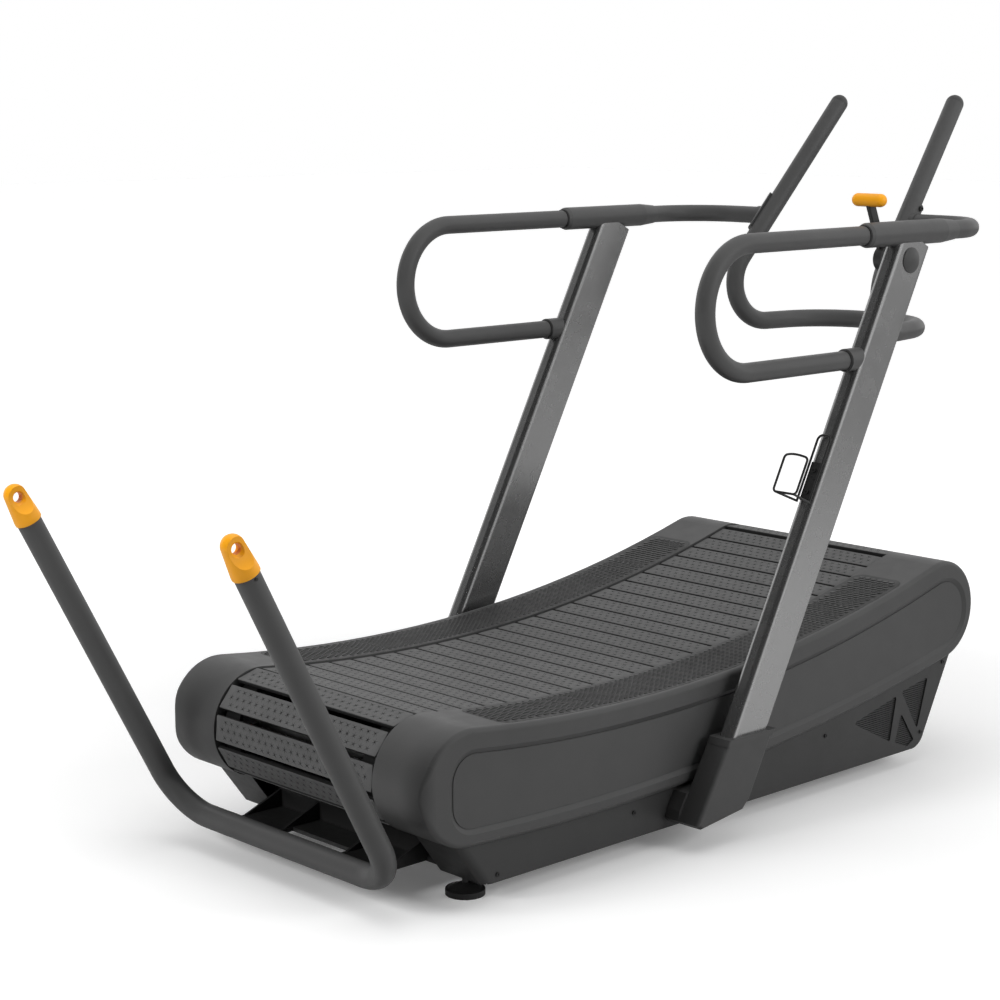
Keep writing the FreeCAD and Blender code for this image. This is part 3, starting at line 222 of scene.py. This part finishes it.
# Every finish, by the record's slot name, with rough its roughness where no gloss is given. Each effect
# starts with the size of its blobs. Then tint has the darkest and the lightest share of the colour,
# gloss the lowest and the highest roughness, and grain its depth and its strength. A fourth number is
# the noise's detail.
LOOKS = {
    "shell_plastic": dict(color=grey(0.062), rough=0.46, tint=(0.21, 0.94, 1.06),
                          gloss=(0.05, 0.42, 0.50), grain=(0.0012, 0.00012, 0.5)),
    "skirt_sheet": dict(color=grey(0.036), rough=0.44, tint=(0.18, 0.93, 1.07),
                        gloss=(0.03, 0.38, 0.47), grain=(0.0009, 0.0001, 0.4)),
    "step_rubber": dict(color=grey(0.032), rough=0.50, tint=(0.09, 0.88, 1.12),
                        gloss=(0.02, 0.44, 0.56), grain=(0.0006, 0.00008, 0.6)),
    "tread_rubber": dict(color=grey(0.098), rough=0.60, tint=(0.035, 0.92, 1.08, 5.0),
                         gloss=(0.012, 0.54, 0.68), grain=(0.0008, 0.0001, 0.6)),
    "slat_alloy": dict(color=grey(0.022), rough=0.45, gloss=(0.02, 0.34, 0.46), metallic=0.3),
    "belt_rubber": dict(color=grey(0.012), rough=0.70, grain=(0.0008, 0.0001, 0.6, 3.0)),
    "frame_paint": dict(color=grey(0.018), rough=0.42, gloss=(0.02, 0.36, 0.48),
                        grain=(0.0011, 0.0001, 0.5)),
    "rail_paint": dict(color=grey(0.072), rough=0.42, tint=(0.16, 0.95, 1.05),
                       gloss=(0.03, 0.38, 0.47), grain=(0.0010, 0.0001, 0.45)),
    "upright_paint": dict(color=grey(0.42), rough=0.26, tint=(0.0016, 0.975, 1.025, 2.0),
                          gloss=(0.04, 0.24, 0.29), metallic=0.95),
    "boot_plastic": dict(color=grey(0.055), rough=0.45, tint=(0.1, 0.95, 1.05),
                         gloss=(0.03, 0.40, 0.50), grain=(0.0012, 0.00012, 0.5)),
    "yellow_plastic": dict(color=(1.0, 0.42, 0.010), rough=0.36, tint=(0.05, 0.97, 1.03),
                           gloss=(0.01, 0.32, 0.41), grain=(0.0010, 0.00006, 0.4)),
    "lever_steel": dict(color=grey(0.030), rough=0.36, gloss=(0.01, 0.32, 0.42)),
    "bearing_steel": dict(color=grey(0.45), rough=0.28, gloss=(0.01, 0.22, 0.34), metallic=1.0),
    "roller_alloy": dict(color=grey(0.30), rough=0.35, gloss=(0.01, 0.28, 0.42), metallic=1.0),
    "cable_black": dict(color=grey(0.015), rough=0.38, gloss=(0.01, 0.33, 0.44)),
    "cage_wire": dict(color=grey(0.018), rough=0.30, gloss=(0.01, 0.25, 0.36)),
    "foot_black": dict(color=grey(0.014), rough=0.45, gloss=(0.01, 0.40, 0.52)),
    "wheel_rubber": dict(color=grey(0.02), rough=0.55, gloss=(0.01, 0.48, 0.62)),
}


def add_finish(name, color, rough, tint=None, gloss=None, grain=None, metallic=0.0):
    """Makes one finish, procedural and on object coordinates."""
    material = bpy.data.materials.new(name)
    tree = Tree(material)
    shader = tree.nodes["Principled BSDF"]
    tree.fill(shader, Base_Color=opaque(color), Roughness=rough, Metallic=metallic)
    place = tree.add("TexCoord", "Object")

    def noise(size, detail):
        return tree.add("TexNoise", "Fac", place, Scale=1.0 / size, Detail=detail, Roughness=NOISE_ROUGH)

    def vary_color(size, darkest, lightest, detail=3.0):
        share = tree.spread(noise(size, detail), NOISE_LOW, NOISE_HIGH, 0.0, 1.0)
        mixed = tree.add("MixRGB", "Color", share, opaque(color, darkest), opaque(color, lightest))
        tree.fill(shader, Base_Color=mixed)

    def vary_roughness(size, lowest, highest, detail=3.0):
        spread = tree.spread(noise(size, detail), NOISE_LOW, NOISE_HIGH, lowest, highest)
        tree.fill(shader, Roughness=spread)

    def add_relief(size, depth, strength, detail=2.0):
        relief = tree.add("Bump", "Normal", Strength=strength, Distance=depth, Height=noise(size, detail))
        tree.fill(shader, Normal=relief)

    for effect, numbers in ((vary_color, tint), (vary_roughness, gloss), (add_relief, grain)):
        if numbers:
            effect(*numbers)
    return material


FINISH = {slot: add_finish(slot, **look) for slot, look in LOOKS.items()}
NODE_SLOT = {part["node"]: part["material_slot"] for part in frame["record"]["subparts"]}
for node_name, node_object in CAD.items():
    node_object.data.materials.clear()
    node_object.data.materials.append(FINISH[NODE_SLOT[node_name]])


# ---------------------------------------------------------------- reading shapes from the frame
MERGE_DIGITS = 5                # points that agree to this many decimals are one point


def solids(node):
    """The separate solids of a CAD node, each as a list of its points."""
    mesh = CAD[node].data
    index_of = {}
    merged = []
    for vertex in mesh.vertices:
        key = tuple(round(c, MERGE_DIGITS) for c in vertex.co)
        merged.append(index_of.setdefault(key, len(index_of)))
    parent = list(range(len(index_of)))

    def root(i):
        while parent[i] != i:
            parent[i] = parent[parent[i]]
            i = parent[i]
        return i

    for polygon in mesh.polygons:
        first = merged[polygon.vertices[0]]
        for other in polygon.vertices[1:]:
            parent[root(merged[other])] = root(first)
    groups = {}
    for key, index in index_of.items():
        groups.setdefault(root(index), []).append(Vector(key))
    return list(groups.values())


def middle(points):
    return sum(points, Vector()) / len(points)


def surface_of(node):
    """The node's skin, ready for ray casts."""
    mesh = CAD[node].data
    return BVHTree.FromPolygons([v.co for v in mesh.vertices], [p.vertices for p in mesh.polygons])


def upright_on(along, normal, spot):
    """The place of a part whose Y runs along, whose Z is the normal and whose origin is at spot."""
    place = Matrix((along.cross(normal), along, normal)).transposed().to_4x4()
    place.translation = spot
    return place


# ---------------------------------------------------------------- building pieces
SHARP_EDGE = 35                 # degrees between two faces that still shade as one


class Build:
    """Points and faces of one piece, each face with the number of its material."""

    def __init__(self):
        self.points = []
        self.faces = []
        self.kinds = []

    def add(self, points, faces, kinds=None, place=None):
        """Adds a part; place is its matrix, and kinds has each face's material if it isn't the first."""
        start = len(self.points)
        self.points += [place @ p for p in points] if place else points
        self.faces += [[start + i for i in face] for face in faces]
        self.kinds += kinds or [0] * len(faces)

    def piece(self, name, body, slots, replaced=(), smooth=True):
        """Makes the object: it rides on body, wears the slots' finishes and replaces CAD nodes."""
        mesh = bpy.data.meshes.new(name)
        mesh.from_pydata(self.points, [], self.faces)
        for slot in slots:
            mesh.materials.append(FINISH[slot])
        mesh.polygons.foreach_set("material_index", self.kinds)
        mesh.polygons.foreach_set("use_smooth", [smooth] * len(self.faces))
        mesh.update()
        mesh.set_sharp_from_angle(angle=math.radians(SHARP_EDGE))
        made = bpy.data.objects.new(name, mesh)
        bpy.context.scene.collection.objects.link(made)
        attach(made, body)
        if replaced:
            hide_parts(*replaced)


# ---------------------------------------------------------------- tread plates
LATTICE = 20 * MM               # spacing of the stars cut into each plate
STAR_ROWS = (-1, 0, 1)
ROW_SHARE = 0.82                # spacing of the rows, as a share of the stars' spacing
STAR_REACH = 9.3 * MM
STAR_CORE = 1.2 * MM
STAR_ARMS = 6
STAR_TURNS = (22, 38)           # degrees, between which each star is turned
STAR_MARGIN = 2 * MM            # flat rubber between a star and the plate's end
CUT_DEEP = 0.9 * MM
PLATE_ROUND = 1.4 * MM          # rounding of a plate's top edge
ROUND_STEP = 0.3                # the rounding's middle ring, as a share of it
PLATE_CORNER = 3.0 * MM
CORNER_STEPS = 3
MESH_NEAR = 1e-7
# Face kinds: the plate's own grey rubber, and a darker rubber that is painted shade in the star cuts and on
# the flanks
GREY_RUBBER, PAINTED_SHADE_RUBBER = 0, 1


def plate_stars(half_x):
    """Middle of every star: a triangular lattice, kept clear of the plate's ends."""
    stars = []
    columns = int(half_x / LATTICE) + 1
    for row in STAR_ROWS:
        shift = LATTICE / 2 if row else 0.0
        for column in range(-columns, columns + 1):
            mid = Vector((column * LATTICE + shift, row * LATTICE * ROW_SHARE))
            if abs(mid.x) < half_x - STAR_REACH - STAR_MARGIN:
                stars.append(mid)
    return stars


def star_outline(mid, turn):
    """A star of slender arms about mid: tips and the corners between them, counter-clockwise."""
    points = []
    for i in range(2 * STAR_ARMS):
        angle = turn + math.pi * i / STAR_ARMS
        radius = STAR_CORE if i % 2 else STAR_REACH
        points.append(mid + Vector((math.cos(angle), math.sin(angle))) * radius)
    return points


def rounded_rectangle(half_x, half_y, corner):
    """Corner points of a rectangle with rounded corners, counter-clockwise."""
    points = []
    for turn, (sx, sy) in enumerate(((1, 1), (-1, 1), (-1, -1), (1, -1))):
        for step in range(CORNER_STEPS + 1):
            angle = math.radians(90 * (turn + step / CORNER_STEPS))
            points.append(Vector((sx * (half_x - corner) + math.cos(angle) * corner,
                                  sy * (half_y - corner) + math.sin(angle) * corner)))
    return points


def plate_part(half_x, half_y, thick):
    """One tread plate about its top face's centre, with its cuts: points, faces and face kinds."""
    outline = rounded_rectangle(half_x - PLATE_ROUND, half_y - PLATE_ROUND, PLATE_CORNER - PLATE_ROUND)
    count = len(outline)
    edges = [(i, (i + 1) % count) for i in range(count)]
    corners = 2 * STAR_ARMS
    for mid in plate_stars(half_x):
        start = len(outline)
        outline += star_outline(mid, math.radians(rng.uniform(*STAR_TURNS)))
        edges += [(start + i, start + (i + 1) % corners) for i in range(corners)]
    flat, _, triangles, origins, _, _ = geometry.delaunay_2d_cdt(outline, edges, [], 0, MESH_NEAR)
    source = [origin[0] if origin else 0 for origin in origins]
    star_of = [(i - count) // corners if i >= count else None for i in source]
    is_tip = [i >= count and (i - count) % 2 == 0 for i in source]
    points = [Vector((p.x, p.y, 0)) for p in flat]
    faces = []
    for triangle in triangles:
        stars = {star_of[i] for i in triangle}
        tips = sum(is_tip[i] for i in triangle)
        # A triangle of one star lies in the star, unless it joins two of its tips.
        in_a_star = len(stars) == 1 and None not in stars and tips < 2
        if not in_a_star:
            faces.append(list(triangle))
    kinds = [GREY_RUBBER] * len(faces)
    place_of = {origin[0]: i for i, origin in enumerate(origins) if origin}
    # Each star cut is lined with the darker rubber: painted shade in the cut
    for start in range(count, len(outline), corners):
        rim_of_star = [place_of[start + i] for i in range(corners)]
        bottom = len(points)
        points.append(middle([points[i] for i in rim_of_star]) - Z_AXIS * CUT_DEEP)
        faces += [[rim_of_star[i], rim_of_star[(i + 1) % corners], bottom] for i in range(corners)]
        kinds += [PAINTED_SHADE_RUBBER] * corners
    last = [place_of[i] for i in range(count)]
    # Two rings round the top edge over, and the third is the plate's flank, dark with painted shade for the
    # gaps between plates.
    rings = ((ROUND_STEP, ROUND_STEP, GREY_RUBBER), (0.0, 1.0, GREY_RUBBER),
             (0.0, thick / PLATE_ROUND, PAINTED_SHADE_RUBBER))
    for inset, depth, kind in rings:
        inset *= PLATE_ROUND
        ring = rounded_rectangle(half_x - inset, half_y - inset, PLATE_CORNER - inset)
        here = list(range(len(points), len(points) + count))
        points += [Vector((p.x, p.y, -depth * PLATE_ROUND)) for p in ring]
        for i in range(count):
            j = (i + 1) % count
            faces.append([last[i], here[i], here[j], last[j]])
        kinds += [kind] * count
        last = here
    faces.append(last[::-1])
    kinds.append(GREY_RUBBER)
    return points, faces, kinds


def add_tread():
    """Every rubber tread plate of the belt, on the CAD's plates."""
    bars = [middle(points) for points in solids("slat_bars")]
    build = Build()
    part = None
    for points in solids("tread_pads"):
        centre = middle(points)
        offsets = [p - centre for p in points]
        syy = sum(o.y * o.y for o in offsets)
        szz = sum(o.z * o.z for o in offsets)
        syz = sum(o.y * o.z for o in offsets)
        slope = 0.5 * math.atan2(2 * syz, syy - szz)
        along = Vector((0, math.cos(slope), math.sin(slope)))
        normal = X_AXIS.cross(along)
        nearest = min(bars, key=lambda bar: (bar - centre).length)
        if normal.dot(centre - nearest) < 0:
            normal = -normal
            along = -along
        half_z = max(abs(o.dot(normal)) for o in offsets)
        if part is None:
            half_x = max(abs(o.x) for o in offsets)
            half_y = max(abs(o.dot(along)) for o in offsets)
            part = plate_part(half_x, half_y, 2 * half_z)
        spot = Vector((0, centre.y, centre.z)) + normal * half_z
        build.add(*part, place=upright_on(along, normal, spot))
    # The second finish, the belt's dark rubber, is the painted shade in the star cuts and on the plates'
    # flanks
    build.piece("tread_plates", "frame", ["tread_rubber", "belt_rubber"], ["tread_pads"], smooth=False)


# ---------------------------------------------------------------- step grips
SCALE_LARGE = 17 * MM           # spacing of the scales near the ends of a grip
SCALE_SMALL = 11.5 * MM         # and along its middle
SCALE_TALL = 0.12               # height of a scale's lip, as a part of its spacing
SCALE_ROW = 0.62                # spacing of the rows, likewise
SCALE_MARGIN = (0.55, 0.5)      # half of the room a scale needs, likewise
SCALE_SINK = 0.3 * MM           # how deep a scale stands in the grip
SCALE_TAPER = 0.84              # its top's size, as a share of its foot's
SCALE_LOW_END = 0.15            # its height at the low end, as a share of the lip's
GROW_FROM = 0.45                # the scales grow over this span, on the way from middle to end
GROW_SPAN = 0.45
SCALE_OUTLINE = [(-0.44, 0.16), (-0.40, -0.10), (-0.24, -0.31), (0.0, -0.40), (0.24, -0.31),
                 (0.40, -0.10), (0.44, 0.16), (0.20, 0.34), (0.0, 0.40), (-0.20, 0.34)]
ABOVE = 100 * MM                # where rays start, over the grip's highest point
STEEPEST = 0.5                  # least upward share of the grip's normal under a scale


def scale_spacing(share):
    """Spacing of the scales where share goes from -1 at the grip's rear to 1 at its front."""
    rise = min(max((abs(share) - GROW_FROM) / GROW_SPAN, 0.0), 1.0)
    rise = rise * rise * (3 - 2 * rise)
    return SCALE_SMALL + (SCALE_LARGE - SCALE_SMALL) * rise


def scale_part(size):
    """One scale: a rounded leaf that rises to a blunt lip at -Y."""
    count = len(SCALE_OUTLINE)
    front = max(y for _, y in SCALE_OUTLINE)
    rear = min(y for _, y in SCALE_OUTLINE)
    points = [Vector((x * size, y * size, -SCALE_SINK)) for x, y in SCALE_OUTLINE]
    for x, y in SCALE_OUTLINE:
        lift = SCALE_LOW_END + (1 - SCALE_LOW_END) * (front - y) / (front - rear)
        points.append(Vector((x * size * SCALE_TAPER, y * size * SCALE_TAPER, lift * SCALE_TALL * size)))
    faces = [[i, (i + 1) % count, count + (i + 1) % count, count + i] for i in range(count)]
    faces.append(list(range(count, 2 * count)))
    return points, faces


def add_studs(side):
    """The scales that stud one step grip, laid on the CAD's grip."""
    node = f"step_grip_{side}"
    low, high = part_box(node)
    skin = surface_of(node)
    build = Build()

    def under(x, y):
        return skin.ray_cast(Vector((x, y, high.z + ABOVE)), -Z_AXIS)

    y = low.y
    row = 0
    while y < high.y:
        size = scale_spacing(2 * (y - low.y) / (high.y - low.y) - 1)
        count = round((high.x - low.x) / size)
        step = (high.x - low.x) / count
        shift = 0.5 * (row % 2)
        for column in range(count + 1):
            x = low.x + (column + shift) * step
            room_x, room_y = [share * size for share in SCALE_MARGIN]
            corners = [under(x + sx * room_x, y + sy * room_y) for sx in (-1, 1) for sy in (-1, 1)]
            spot, normal, _, _ = under(x, y)
            if spot is None or normal.z < STEEPEST or any(corner[0] is None for corner in corners):
                continue
            along = (Y_AXIS - normal * normal.y).normalized()
            build.add(*scale_part(size), place=upright_on(along, normal, spot))
        y += size * SCALE_ROW
        row += 1
    build.piece(f"step_studs_{side}", "frame", ["step_rubber"])


# ---------------------------------------------------------------- seals on the hand rails
RAIL_RADIUS = 20 * MM
SEAL_LONG = 4 * MM
SEAL_FOOT = RAIL_RADIUS - 0.2 * MM      # the seal's inside, just within the tube
SEAL_PROFILE = [(0.0, SEAL_FOOT), (0.0, RAIL_RADIUS + 1.2 * MM), (0.3, RAIL_RADIUS + 2.2 * MM),
                (1.0, RAIL_RADIUS + 2.6 * MM), (1.0, SEAL_FOOT)]
SEAL_SIDES = 48
END_NEAR = 0.5 * MM             # points this near the rearmost one belong to the collar's end face


def add_seal(build, face):
    """A turned seal behind the face; its profile lists (share of the way to the face, radius)."""
    start = face - Y_AXIS * SEAL_LONG
    axis = (face - start).normalized()
    side = axis.orthogonal().normalized()
    across = axis.cross(side)
    points = []
    for share, radius in SEAL_PROFILE:
        centre = start.lerp(face, share)
        for i in range(SEAL_SIDES):
            turn = 2 * math.pi * i / SEAL_SIDES
            points.append(centre + (side * math.cos(turn) + across * math.sin(turn)) * radius)
    faces = []
    for ring in range(len(SEAL_PROFILE)):
        here = ring * SEAL_SIDES
        ahead = (ring + 1) % len(SEAL_PROFILE) * SEAL_SIDES
        for i in range(SEAL_SIDES):
            j = (i + 1) % SEAL_SIDES
            faces.append([here + i, here + j, ahead + j, ahead + i])
    build.add(points, faces)


def add_seals(side):
    """Black lip seals where the loop's tube enters its sleeve and its collar."""
    build = Build()
    low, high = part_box(f"rail_sleeve_{side}")
    centre_x = (low.x + high.x) / 2
    add_seal(build, Vector((centre_x, low.y, (low.z + high.z) / 2)))
    collars = [points for points in solids("loop_collars") if middle(points).x * centre_x > 0]
    rear = min(p.y for p in collars[0])
    heights = [p.z for p in collars[0] if p.y < rear + END_NEAR]
    add_seal(build, Vector((centre_x, rear, (min(heights) + max(heights)) / 2)))
    build.piece(f"rail_seals_{side}", "frame", ["cable_black"])


add_tread()
for side_name in ("left", "right"):
    add_studs(side_name)
    add_seals(side_name)
